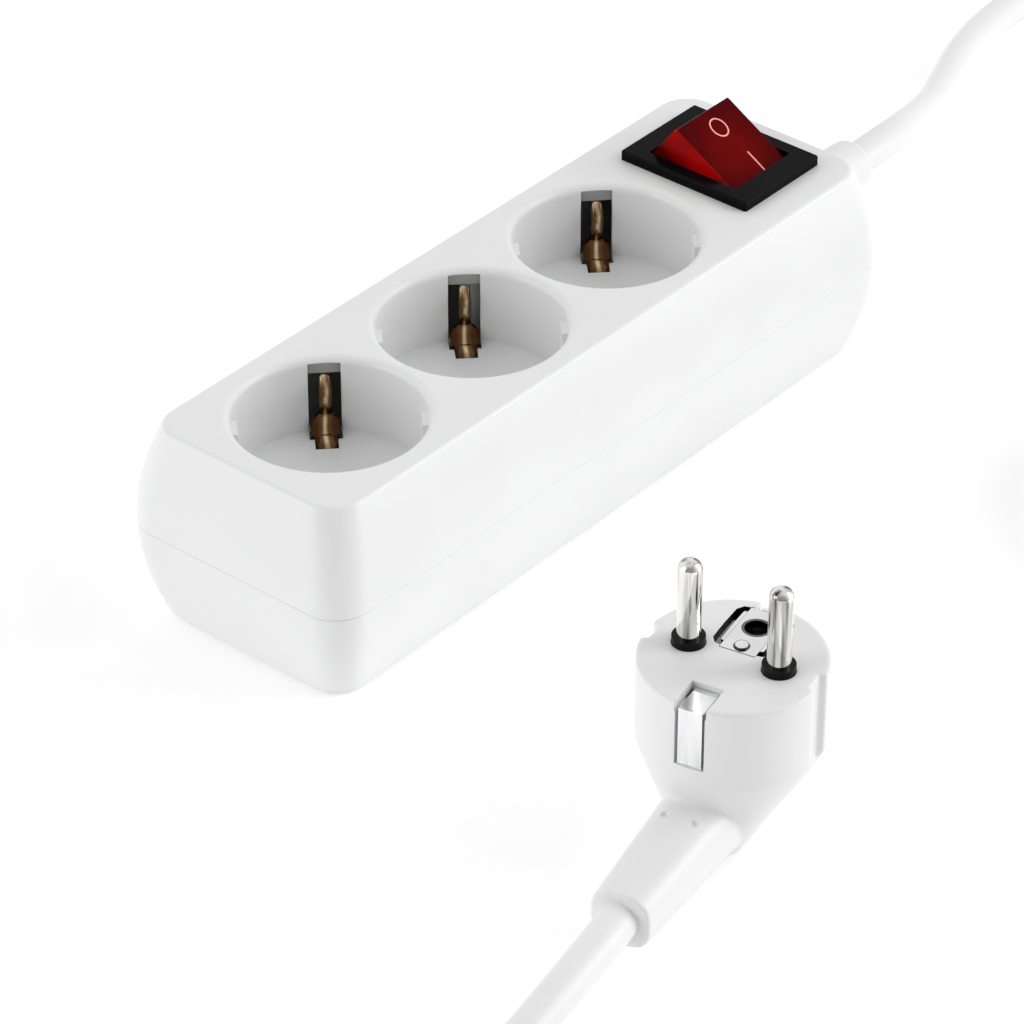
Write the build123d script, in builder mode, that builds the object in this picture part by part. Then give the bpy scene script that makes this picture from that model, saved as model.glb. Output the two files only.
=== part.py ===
from build123d import *
import math
import os

# A three-way earthed power strip with an illuminated rocker switch, its lead and its angled plug.
# Millimetres, +Z up. The origin is the centre of the strip's underside and +X runs to the lead's end.

os.makedirs("parts", exist_ok=True)

TOLERANCE = 0.01

# Case
HEIGHT = 45.5
TOP_LENGTH = 172.0
TOP_WIDTH = 50.0
SIDE_SWELL = 4.5
CORNER_RADIUS = 8.0
TOP_EDGE_RADIUS = 1.2
BOTTOM_EDGE_RADIUS = 2.0
PARTING_Z = 22.5
PARTING_CHAMFER = 0.2
WALL = 2.2

# Sockets: a 40 mm well, 4.8 mm pins 19 mm apart, side earth springs
SOCKET_PITCH = 44.0
FIRST_SOCKET_X = -59.7
SOCKET_COUNT = 3
WELL_RADIUS = 20.0
WELL_WALL = 1.4
WELL_DEPTH = 17.5
WELL_FLOOR = 2.0
RIM_RADIUS = 1.8
PIN_PITCH = 19.0
PIN_RADIUS = 2.4
PIN_LENGTH = 19.0
PIN_HOLE_RADIUS = 2.6
PIN_LINE_ANGLE = -45.0
EARTH_LINE_ANGLE = 45.0
EARTH_SLOT_WIDTH = 6.8
EARTH_SLOT_INNER = 19.0
EARTH_SLOT_OUTER = 23.2
EARTH_SLOT_TOP = 44.2
FLOOR_SLOT_INNER = 16.4
TONGUE_SLOT_WIDTH = 4.8
TONGUE_SLOT_INNER = 12.8
APRON_THICKNESS = 1.2
APRON_WIDTH = 7.8
APRON_BOTTOM_Z = 39.8
KEY_WIDTH = 5.0
KEY_PROUD = 1.5
KEY_BELOW_RIM = 2.6
KEY_ROOT = 0.6

# Current-carrying strips
STRIP_THICKNESS = 0.8
BUS_WIDTH = 5.0
BUS_START_X = -72.0
BUS_END_X = 42.0
BUS_Z = 7.6
CONTACT_WALL = 0.7
CONTACT_SLIT = 1.0
CONTACT_SLIT_LENGTH = 8.0
CONTACT_BORE = 2.3
CONTACT_ROOT = 3.0
CONTACT_TOP_GAP = 0.5
CLIP_TONGUE_WIDTH = 4.4
CLIP_SHOULDER_WIDTH = 6.2
CLIP_SPRING_WIDTH = 2.6
CLIP_BEND = 1.0
# Each clip's side view: radius from the socket's axis and height above the well's floor
CLIP_TONGUE = ((0.0, -2.4), (13.4, -2.4), (15.0, -0.4), (17.0, 0.7))
CLIP_SHOULDER = ((16.8, 0.6), (20.0, 3.4), (20.2, 4.2))
CLIP_SPRING = ((20.1, 3.6), (19.4, 5.4), (18.4, 7.4), (18.0, 9.2), (18.6, 11.2), (19.6, 12.7), (20.3, 13.4))
RIB_THICKNESS = 1.6
RIB_XS = (-68.0, -38.0, -6.0, 26.0)
RIB_HALF_LENGTH = 21.0

# Screws
SCREW_XS = (-77.5, 6.3, 80.5)
SCREW_Y = 18.5
SCREW_SHANK = 1.45
SCREW_PILOT = 1.4
SCREW_HEAD = 2.7
SCREW_HEAD_THICKNESS = 2.0
SCREW_SEAT_Z = 14.0
SCREW_TIP_Z = 34.0
PILOT_SPARE = 1.0
BASE_BOSS = 4.2
TOP_BOSS = 3.0
COUNTERBORE = 3.0
SCREW_CLEARANCE = 1.6
DRIVE_LENGTH = 2.8
DRIVE_WIDTH = 0.6
DRIVE_DEPTH = 1.0

# Switch
SWITCH_X = 67.1
BEZEL_LENGTH = 34.2
BEZEL_WIDTH = 25.8
BEZEL_PROUD = 2.3
BEZEL_EDGE = 0.6
BODY_LENGTH = 28.4
BODY_WIDTH = 21.4
BODY_BOTTOM_Z = 27.5
CUTOUT_GAP = 0.3
SWITCH_FLOOR = 2.0
CHAMBER_WIDTH = 17.0
CHAMBER_LENGTH = 24.0
CHAMBER_HEIGHT = 7.0
SWEEP_GAP = 0.35
ROCKER_WIDTH = 18.5
ROCKER_GAP = 0.4
PIVOT_Z = 45.4
ROCKER_TILT = 30.0
ROCKER_HALF = 9.7
ROCKER_RISE = 6.2
ROCKER_SKIRT_HALF = 10.8
ROCKER_SKIRT_DROP = 4.0
ROCKER_WALL = 1.6
ROCKER_ROUND = 0.5
AXLE_RADIUS = 1.5
AXLE_END = 10.2
AXLE_PLAY = 0.06
POLE_OFFSET = 5.5
PLUNGER_RADIUS = 1.2
PLUNGER_REACH = 10.2
PLUNGER_TOP = 2.0
GUIDE_RADIUS = 2.2
GUIDE_DROP = 3.0
LEVER_Z = 33.4
LEVER_ARM = 5.8
LEVER_RISE = 28.0
LEVER_TILT = -12.0
LEVER_WIDTH = 3.0
LEVER_SEAT_GAP = 0.8
BLADE_WIDTH = 4.8
BLADE_THICKNESS = 0.8
BLADE_BOTTOM_Z = 21.0
CONTACT_Y = 9.0
CONTACT_TOP_Z = 34.2
CONTACT_SHELF = 4.0
LAMP_RADIUS = 2.2
LAMP_BOTTOM_Z = 36.0
LAMP_TOP_Z = 46.5
LAMP_LEG_Y = 1.2
LAMP_LEG_RADIUS = 0.4

# Lead, its clamp and its strain relief
CORD_RADIUS = 4.0
CORD_Z = 22.5
FLOOR_CORD_Z = CORD_RADIUS + 0.1
BOOT_END_X = 117.0
BOOT_ROOT_RADIUS = 6.6
BOOT_TIP_RADIUS = 5.8
BOOT_TIP_ROUND = 1.6
BOOT_FLANGE_RADIUS = 8.0
BOOT_FLANGE_X = 84.6
BOOT_FLANGE_THICKNESS = 3.0
BOOT_HOLE_GAP = 0.1
SHEATH_START_X = 79.0
CLAMP_X = 81.6
CLAMP_WIDTH = 4.0
CLAMP_HALF = 11.0
CLAMP_THICKNESS = 2.6
CLAMP_SCREW_Y = 8.0
CLAMP_SCREW_RADIUS = 1.2
CLAMP_SCREW_HEAD = 1.9
CLAMP_SCREW_DEPTH = 8.0
WIRE_RADIUS = 1.3
WIRE_BEND = 1.6
WIRE_ROUTES = {
    "live_in": [(79, 1.9, 23.4), (77, 1.9, 23.4), (75.8, 1.8, 18), (74, 0.6, 14.4), (72.6, 0, 16.5),
                (72.6, 0, 21)],
    "neutral_in": [(79, -1.9, 23.4), (77, -1.9, 23.4), (75, -3.6, 17), (66, -4, 12), (61.6, 0, 14),
                   (61.6, 0, 21)],
    "earth": [(79, 0, 20.4), (77.4, 0, 20.4), (76, -0.5, 13), (71, -0.8, 9.2), (56, -0.5, 9), (46, 0, 12),
              (39.5, 0, 18), (39.5, 0, 24.4)],
    "live_out": [(72.6, 9, 21), (72.6, 9, 14.5), (66, 8.6, 10.6), (52, 7.4, 9.4), (45.5, 6.72, 8),
                 (42, 6.72, 8)],
    "neutral_out": [(61.6, 9, 21), (61.6, 9, 17.5), (57.5, 2, 14.6), (50, -5, 12), (45.5, -6.72, 8),
                    (42, -6.72, 8)],
}

# Plug, in its own frame: face at 0, pins towards +Z, lead towards -Y
PLUG_FACE = (-65.2, -106.6, 39.0)
PLUG_TURN = 11.5
PLUG_RADIUS = 18.5
PLUG_SHOULDER = 18.0
PLUG_DEPTH = 39.0
PLUG_BACK_WIDTH = 13.0
PLUG_BACK_LENGTH = 20.0
PLUG_BACK_SHIFT = -2.0
PLUG_BACK_ROUND = 3.0
PLUG_BOOT_DEPTH = 31.0
PLUG_BOOT_END = 46.0
PLUG_BOOT_ROOT_RADIUS = 7.9
PLUG_BOOT_TIP_RADIUS = 6.0
PLUG_SHEATH_START = 22.0
CORE_RADIUS = 14.0
CORE_TOP = 2.0
CORE_BOTTOM = 16.0
PIN_TAIL = 17.5
PIN_TAIL_RADIUS = 1.9
PIN_TIP_FLAT = 0.3
COLLAR_RADIUS = 3.3
COLLAR_PROUD = 1.6
EARTH_HOLE_Y = 10.0
EARTH_HOLE_RADIUS = 2.45
EARTH_SLEEVE_RADIUS = 3.3
EARTH_SLEEVE_DEPTH = 13.0
BRACKET_THICKNESS = 0.8
BRACKET_WIDTH = 5.0
BRACKET_HALF = 17.7
BRACKET_TOP = 1.2
BRACKET_UNDER = 16.4
BRACKET_POCKET = 3.0
BRACKET_POCKET_DEPTH = 14.2
LUG_END = 10.8
LUG_DROP = 1.6
LUG_POCKET_WIDTH = 6.6
LUG_POCKET_END = 10.6
EARTH_PLATE_WIDTH = 7.5
EARTH_PLATE_LENGTH = 14.0
EARTH_PLATE_Y = 8.5
RIVET_Y = 3.5
RIVET_RADIUS = 1.4
RIVET_PROUD = 0.4
PLUG_WIRE_RADIUS = 1.1
# Wires inside the plug, in its own frame
PLUG_WIRE_ROUTES = (
    [(-1.8, -22, -30), (-1.8, -18, -30), (-6, -5, -26), (-9.5, 0, -22.5), (-9.5, 0, -17.5)],
    [(1.8, -22, -30), (1.8, -18, -30), (6, -5, -26), (9.5, 0, -22.5), (9.5, 0, -17.5)],
    [(0, -22, -33.2), (0, -14, -33.2), (0, -4, -28), (0, 0, -23), (0, 0, -16.8)],
)

# Route of the lead along the floor, from the strip to the coil and from the coil to the plug
COIL_CENTRE = (105.0, -128.0)
COIL_OUTER = 52.0
COIL_INNER = 36.0
COIL_HEIGHT = 2 * CORD_RADIUS
STRIP_ROUTE = [
    (117, 0, 22.5), (131, 0, 22.5), (147, 3.6, 19.2), (163, 10.5, 13.2), (180, 19, 8), (198, 27.5, 4.9),
    (219, 32.5, 4.1), (241, 32, 4.1), (262.5, 25.5, 4.1), (279, 10, 4.1), (286, -12, 4.1),
    (282, -34, 4.1), (267.5, -52, 4.1), (247, -62, 4.1), (213, -65.5, 4.1), (172, -64, 4.1),
    (134, -67, 4.1), (103, -76, 4.1), (77.4, -89.5, 4.1),
]
PLUG_ROUTE = [
    (63.4, -104, 4.1), (49, -120, 4.1), (29, -135, 4.1), (3, -151, 4.1), (-27, -171, 4.1),
    (-59, -194, 4.1), (-92, -211, 4.1), (-126, -219.5, 4.1), (-156.5, -219, 4.1), (-179, -209.5, 4.1),
    (-194, -191.5, 4.1), (-199, -168.5, 4.1), (-192.5, -145.5, 4.1), (-176, -129, 4.6),
    (-154, -123, 5.8),
]
PLUG_EXIT_RUN = 21.0

socket_xs = [FIRST_SOCKET_X + SOCKET_PITCH * index for index in range(SOCKET_COUNT)]
well_floor_z = HEIGHT - WELL_DEPTH
well_under_z = well_floor_z - WELL_FLOOR
skin_under_z = HEIGHT - WALL
pin_offset = PIN_PITCH / 2
pin_dx = pin_offset * math.cos(math.radians(PIN_LINE_ANGLE))
pin_dy = pin_offset * math.sin(math.radians(PIN_LINE_ANGLE))
live_spots = [(x - pin_dx, -pin_dy) for x in socket_xs]
neutral_spots = [(x + pin_dx, pin_dy) for x in socket_xs]
screw_spots = [(x, side * SCREW_Y) for x in SCREW_XS for side in (-1, 1)]
pole_xs = [SWITCH_X - POLE_OFFSET, SWITCH_X + POLE_OFFSET]
bus_top_z = BUS_Z + STRIP_THICKNESS
earth_bus_z = well_under_z - 2 * STRIP_THICKNESS
well_sweep = math.hypot(ROCKER_SKIRT_HALF, ROCKER_SKIRT_DROP) + SWEEP_GAP


def swollen_block(inset):
    """Block with arched sides, set in from the case's outline by the inset."""
    half_width = TOP_WIDTH / 2 - inset
    half_length = TOP_LENGTH / 2 - inset
    with BuildPart() as block:
        for plane, half, reach, mode in (
            (Plane.YZ, half_width, half_length, Mode.ADD),
            (Plane.XZ, half_length, half_width, Mode.INTERSECT),
        ):
            with BuildSketch(plane):
                with BuildLine():
                    ThreePointArc((half, 0), (half + SIDE_SWELL, HEIGHT / 2), (half, HEIGHT))
                    Line((half, HEIGHT), (-half, HEIGHT))
                    ThreePointArc((-half, HEIGHT), (-half - SIDE_SWELL, HEIGHT / 2), (-half, 0))
                    Line((-half, 0), (half, 0))
                make_face()
            extrude(amount=reach + 2 * SIDE_SWELL, both=True, mode=mode)
        corners = block.edges().filter_by(lambda edge: edge.bounding_box().size.Z > HEIGHT / 2)
        fillet(corners, CORNER_RADIUS - inset)
        if inset == 0:
            fillet(block.faces().sort_by(Axis.Z)[-1].outer_wire().edges(), TOP_EDGE_RADIUS)
            fillet(block.faces().sort_by(Axis.Z)[0].outer_wire().edges(), BOTTOM_EDGE_RADIUS)
    return block.part


def wire(points, radius, corner):
    """Round wire along straight runs joined by arcs."""
    with BuildPart() as run:
        with BuildLine() as path:
            FilletPolyline(*points, radius=corner)
        with BuildSketch(Plane(path.line @ 0, z_dir=path.line % 0)):
            Circle(radius)
        sweep()
    return run


def route_radii(points):
    """Largest arc that each corner's two runs allow."""
    vectors = [Vector(*point) for point in points]
    radii = []
    for before, here, after in zip(vectors, vectors[1:], vectors[2:]):
        turn = math.radians((here - before).get_angle(after - here))
        shorter = min((here - before).length, (after - here).length)
        radii.append(0.45 * shorter / math.tan(turn / 2))
    return radii


def cord_tube(points):
    """Cord along its route, each corner rounded as much as its runs allow."""
    radii = route_radii(points)
    with BuildPart() as tube:
        with BuildLine() as path:
            FilletPolyline(*points, radius=radii)
        with BuildSketch(Plane(path.line @ 0, z_dir=path.line % 0)):
            Circle(CORD_RADIUS)
        sweep()
    section = math.pi * CORD_RADIUS**2
    share = tube.part.volume / (section * path.wire().length)
    print("cord length", round(path.wire().length, 1), "volume share", round(share, 4))
    print("arc radii", [round(radius) for radius in radii])
    return tube


def layer(block, low, high):
    """The part of a block between two heights."""
    with BuildPart() as slab:
        add(block)
        split(bisect_by=Plane.XY.offset(low), keep=Keep.TOP)
        split(bisect_by=Plane.XY.offset(high), keep=Keep.BOTTOM)
    return slab.part


def diagonal_plane(x, angle):
    """Upright plane through a socket's axis, its own X along the given direction."""
    turn = math.radians(angle)
    return Plane(
        origin=(x, 0, 0),
        x_dir=(math.cos(turn), math.sin(turn), 0),
        z_dir=(math.sin(turn), -math.cos(turn), 0),
    )


outer_block = swollen_block(0)
inner_block = swollen_block(WALL)
base_hollow = layer(inner_block, WALL, PARTING_Z)
top_hollow = layer(inner_block, PARTING_Z, skin_under_z)

# Case: the lower shell, with screw bosses, ribs under the strips and the cord's saddle
with BuildPart() as base_cover:
    add(layer(outer_block, 0, PARTING_Z))
    chamfer(base_cover.faces().sort_by(Axis.Z)[-1].outer_wire().edges(), PARTING_CHAMFER)
    add(base_hollow, mode=Mode.SUBTRACT)
    with BuildSketch(Plane.XY.offset(WALL)):
        with Locations(*screw_spots):
            Circle(BASE_BOSS)
    extrude(amount=PARTING_Z - WALL)
    with BuildSketch(Plane.XY.offset(WALL)):
        with Locations(*[(x, 0) for x in RIB_XS]):
            Rectangle(RIB_THICKNESS, 2 * RIB_HALF_LENGTH)
    extrude(amount=BUS_Z - WALL)
    with BuildSketch(Plane.XY.offset(WALL)):
        with Locations((CLAMP_X, 0)):
            Rectangle(CLAMP_WIDTH, 2 * CLAMP_HALF)
    extrude(amount=CORD_Z - WALL)
    with BuildSketch(Plane.YZ.offset(CLAMP_X - CLAMP_WIDTH)):
        with Locations((0, CORD_Z)):
            Circle(CORD_RADIUS)
    extrude(amount=2 * CLAMP_WIDTH, mode=Mode.SUBTRACT)
    with BuildSketch(Plane.XY.offset(CORD_Z)):
        with Locations((CLAMP_X, -CLAMP_SCREW_Y), (CLAMP_X, CLAMP_SCREW_Y)):
            Circle(CLAMP_SCREW_RADIUS)
    extrude(amount=-CLAMP_SCREW_DEPTH, mode=Mode.SUBTRACT)
    with BuildSketch(Plane.YZ.offset(TOP_LENGTH / 2 - WALL)):
        with Locations((0, CORD_Z)):
            Circle(BOOT_ROOT_RADIUS + BOOT_HOLE_GAP)
    extrude(amount=WALL + 2 * SIDE_SWELL, mode=Mode.SUBTRACT)
    with BuildSketch(Plane.XY):
        with Locations(*screw_spots):
            Circle(COUNTERBORE)
    extrude(amount=SCREW_SEAT_Z, mode=Mode.SUBTRACT)
    with BuildSketch(Plane.XY.offset(SCREW_SEAT_Z)):
        with Locations(*screw_spots):
            Circle(SCREW_CLEARANCE)
    extrude(amount=PARTING_Z - SCREW_SEAT_Z, mode=Mode.SUBTRACT)

# Case: the upper shell, with the socket wells, their keys and slots, and the switch's cut-out
with BuildPart() as top_cover:
    add(layer(outer_block, PARTING_Z, HEIGHT))
    chamfer(top_cover.faces().sort_by(Axis.Z)[0].outer_wire().edges(), PARTING_CHAMFER)
    add(top_hollow, mode=Mode.SUBTRACT)
    with BuildSketch(Plane.XY.offset(well_under_z)):
        with Locations(*[(x, 0) for x in socket_xs]):
            Circle(WELL_RADIUS + WELL_WALL)
    extrude(amount=skin_under_z - well_under_z)
    with BuildSketch(Plane.XY.offset(PARTING_Z)):
        with Locations(*screw_spots):
            Circle(TOP_BOSS)
    extrude(amount=skin_under_z - PARTING_Z)
    with BuildSketch(Plane.XY.offset(well_floor_z)):
        with Locations(*[(x, 0) for x in socket_xs]):
            Circle(WELL_RADIUS)
    extrude(amount=WELL_DEPTH, mode=Mode.SUBTRACT)
    rims = top_cover.edges().filter_by(GeomType.CIRCLE).filter_by_position(
        Axis.Z, HEIGHT - TOLERANCE, HEIGHT + TOLERANCE
    )
    fillet(rims.filter_by(lambda edge: abs(edge.radius - WELL_RADIUS) < TOLERANCE), RIM_RADIUS)
    for x in socket_xs:
        for angle in (PIN_LINE_ANGLE, PIN_LINE_ANGLE + 180):
            key = Plane((x, 0, well_floor_z), x_dir=diagonal_plane(x, angle).x_dir, z_dir=(0, 0, 1))
            with BuildSketch(key):
                with Locations((WELL_RADIUS - KEY_PROUD / 2 + KEY_ROOT / 2, 0)):
                    Rectangle(KEY_PROUD + KEY_ROOT, KEY_WIDTH)
            extrude(amount=WELL_DEPTH - KEY_BELOW_RIM)
        for angle in (EARTH_LINE_ANGLE, EARTH_LINE_ANGLE + 180):
            slot = Plane((x, 0, well_floor_z), x_dir=diagonal_plane(x, angle).x_dir, z_dir=(0, 0, 1))
            with BuildSketch(slot.offset(APRON_BOTTOM_Z - well_floor_z)):
                with Locations((EARTH_SLOT_OUTER, 0)):
                    Rectangle(APRON_THICKNESS, APRON_WIDTH, align=(Align.MIN, Align.CENTER))
            extrude(amount=skin_under_z - APRON_BOTTOM_Z)
            with BuildSketch(slot):
                with Locations((EARTH_SLOT_OUTER, 0)):
                    Rectangle(
                        EARTH_SLOT_OUTER - EARTH_SLOT_INNER, EARTH_SLOT_WIDTH, align=(Align.MAX, Align.CENTER)
                    )
            extrude(amount=EARTH_SLOT_TOP - well_floor_z, mode=Mode.SUBTRACT)
            with BuildSketch(slot):
                with Locations((WELL_RADIUS, 0)):
                    Rectangle(
                        WELL_RADIUS - FLOOR_SLOT_INNER, EARTH_SLOT_WIDTH, align=(Align.MAX, Align.CENTER)
                    )
                    Rectangle(
                        WELL_RADIUS - TONGUE_SLOT_INNER, TONGUE_SLOT_WIDTH, align=(Align.MAX, Align.CENTER)
                    )
            extrude(amount=-WELL_FLOOR, mode=Mode.SUBTRACT)
    with BuildSketch(Plane.XY.offset(well_under_z)):
        with Locations(*live_spots, *neutral_spots):
            Circle(PIN_HOLE_RADIUS)
    extrude(amount=WELL_FLOOR, mode=Mode.SUBTRACT)
    with BuildSketch(Plane.XY.offset(PARTING_Z)):
        with Locations(*screw_spots):
            Circle(SCREW_PILOT)
    extrude(amount=SCREW_TIP_Z + PILOT_SPARE - PARTING_Z, mode=Mode.SUBTRACT)
    with BuildSketch(Plane.XY.offset(skin_under_z)):
        with Locations((SWITCH_X, 0)):
            Rectangle(BODY_WIDTH + 2 * CUTOUT_GAP, BODY_LENGTH + 2 * CUTOUT_GAP)
    extrude(amount=WALL, mode=Mode.SUBTRACT)
    with BuildSketch(Plane.YZ.offset(TOP_LENGTH / 2 - WALL)):
        with Locations((0, CORD_Z)):
            Circle(BOOT_ROOT_RADIUS + BOOT_HOLE_GAP)
    extrude(amount=WALL + 2 * SIDE_SWELL, mode=Mode.SUBTRACT)

# Screws that close the case from below
with BuildPart() as case_screws:
    with BuildSketch(Plane.XY.offset(SCREW_SEAT_Z - SCREW_HEAD_THICKNESS)):
        with Locations(*screw_spots):
            Circle(SCREW_HEAD)
    extrude(amount=SCREW_HEAD_THICKNESS)
    with BuildSketch(Plane.XY.offset(SCREW_SEAT_Z)):
        with Locations(*screw_spots):
            Circle(SCREW_SHANK)
    extrude(amount=SCREW_TIP_Z - SCREW_SEAT_Z)
    with BuildSketch(Plane.XY.offset(SCREW_SEAT_Z - SCREW_HEAD_THICKNESS)):
        with Locations(*screw_spots):
            Rectangle(DRIVE_LENGTH, DRIVE_WIDTH)
            Rectangle(DRIVE_WIDTH, DRIVE_LENGTH)
    extrude(amount=DRIVE_DEPTH, mode=Mode.SUBTRACT)

# Earth strip along the middle, under the wells
with BuildPart() as earth_bus:
    with BuildSketch(Plane.XY.offset(earth_bus_z)):
        with Locations(((BUS_START_X + BUS_END_X) / 2, 0)):
            Rectangle(BUS_END_X - BUS_START_X, BUS_WIDTH)
    extrude(amount=STRIP_THICKNESS)

# Earth springs: a strap under each well, and at each end a tongue through the floor, a shoulder and a spring
earth_clips = []
for x in socket_xs:
    with BuildPart() as clip:
        for angle in (EARTH_LINE_ANGLE, EARTH_LINE_ANGLE + 180):
            plane = diagonal_plane(x, angle)
            with BuildSketch(plane):
                with BuildLine():
                    tongue = [(radius, well_floor_z + rise) for radius, rise in CLIP_TONGUE]
                    FilletPolyline(*tongue, radius=CLIP_BEND)
                trace(line_width=STRIP_THICKNESS)
            extrude(amount=CLIP_TONGUE_WIDTH / 2, both=True)
            with BuildSketch(plane):
                with BuildLine():
                    Polyline(*[(radius, well_floor_z + rise) for radius, rise in CLIP_SHOULDER])
                trace(line_width=STRIP_THICKNESS)
            extrude(amount=CLIP_SHOULDER_WIDTH / 2, both=True)
            with BuildSketch(plane):
                with BuildLine():
                    Spline(*[(radius, well_floor_z + rise) for radius, rise in CLIP_SPRING])
                trace(line_width=STRIP_THICKNESS)
            extrude(amount=CLIP_SPRING_WIDTH / 2, both=True)
    earth_clips.append(clip)

# Live and neutral strips, and the slit sleeves that stand on them under the pin holes
buses = []
sleeves = []
for side, spots in ((1, live_spots), (-1, neutral_spots)):
    with BuildPart() as bus:
        with BuildSketch(Plane.XY.offset(BUS_Z)):
            with Locations(((BUS_START_X + BUS_END_X) / 2, -side * pin_dy)):
                Rectangle(BUS_END_X - BUS_START_X, BUS_WIDTH)
        extrude(amount=STRIP_THICKNESS)
    with BuildPart() as sleeve:
        with BuildSketch(Plane.XY.offset(bus_top_z)):
            with Locations(*spots):
                Circle(CONTACT_BORE + CONTACT_WALL)
                Circle(CONTACT_BORE, mode=Mode.SUBTRACT)
        extrude(amount=well_under_z - CONTACT_TOP_GAP - bus_top_z)
        with BuildSketch(Plane.XY.offset(bus_top_z + CONTACT_ROOT)):
            with Locations(*spots):
                Rectangle(CONTACT_SLIT_LENGTH, CONTACT_SLIT)
        extrude(amount=WELL_DEPTH, mode=Mode.SUBTRACT)
    buses.append(bus)
    sleeves.append(sleeve)
live_bus, neutral_bus = buses
live_contacts, neutral_contacts = sleeves

# Switch: bezel and body in one moulding
with BuildPart() as switch_housing:
    with BuildSketch(Plane.XY.offset(HEIGHT)):
        with Locations((SWITCH_X, 0)):
            RectangleRounded(BEZEL_WIDTH, BEZEL_LENGTH, BEZEL_EDGE)
    extrude(amount=BEZEL_PROUD)
    chamfer(switch_housing.faces().sort_by(Axis.Z)[-1].edges(), BEZEL_EDGE / 2)
    with BuildSketch(Plane.XY.offset(BODY_BOTTOM_Z)):
        with Locations((SWITCH_X, 0)):
            Rectangle(BODY_WIDTH, BODY_LENGTH)
    extrude(amount=HEIGHT - BODY_BOTTOM_Z)
    with BuildSketch(Plane.YZ.offset(SWITCH_X)):
        with Locations((0, PIVOT_Z)):
            Circle(well_sweep)
            Rectangle(2 * well_sweep, 2 * well_sweep, align=(Align.CENTER, Align.MIN))
    extrude(amount=ROCKER_WIDTH / 2 + ROCKER_GAP, both=True, mode=Mode.SUBTRACT)
    with BuildSketch(Plane.XY.offset(BODY_BOTTOM_Z + SWITCH_FLOOR)):
        with Locations((SWITCH_X, 0)):
            Rectangle(CHAMBER_WIDTH, CHAMBER_LENGTH)
    extrude(amount=CHAMBER_HEIGHT, mode=Mode.SUBTRACT)
    with BuildSketch(Plane.YZ.offset(SWITCH_X)):
        with Locations((0, PIVOT_Z)):
            Circle(AXLE_RADIUS + AXLE_PLAY)
    extrude(amount=AXLE_END + AXLE_PLAY, both=True, mode=Mode.SUBTRACT)
    with BuildSketch(Plane.XY.offset(BODY_BOTTOM_Z)):
        with Locations(*[(x, y) for x in pole_xs for y in (0, CONTACT_Y)]):
            Rectangle(BLADE_WIDTH, BLADE_THICKNESS)
    extrude(amount=SWITCH_FLOOR, mode=Mode.SUBTRACT)

# Switch: four blade terminals, two under the levers and two with fixed contacts
with BuildPart() as switch_terminals:
    with BuildSketch(Plane.XY.offset(BLADE_BOTTOM_Z)):
        with Locations(*[(x, 0) for x in pole_xs]):
            Rectangle(BLADE_WIDTH, BLADE_THICKNESS)
    extrude(amount=LEVER_Z - LEVER_SEAT_GAP - BLADE_BOTTOM_Z)
    with BuildSketch(Plane.XY.offset(BLADE_BOTTOM_Z)):
        with Locations(*[(x, CONTACT_Y) for x in pole_xs]):
            Rectangle(BLADE_WIDTH, BLADE_THICKNESS)
    extrude(amount=CONTACT_TOP_Z - BLADE_BOTTOM_Z)
    with BuildSketch(Plane.XY.offset(CONTACT_TOP_Z - BLADE_THICKNESS)):
        with Locations(*[(x, CONTACT_Y + BLADE_THICKNESS / 2) for x in pole_xs]):
            Rectangle(LEVER_WIDTH, CONTACT_SHELF, align=(Align.CENTER, Align.MAX))
    extrude(amount=BLADE_THICKNESS)

# Switch: the tilting rocker, hollow below, with stub axles and a guide for each plunger
tilt = math.radians(ROCKER_TILT)
rocker_plane = Plane(
    origin=(SWITCH_X, 0, PIVOT_Z),
    x_dir=(0, math.cos(tilt), math.sin(tilt)),
    z_dir=(1, 0, 0),
)


def rocker_height(edge):
    """Height of an edge above the rocker's axle, square to its face."""
    return round(rocker_plane.to_local_coords(edge.center()).Y, 1)


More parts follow.
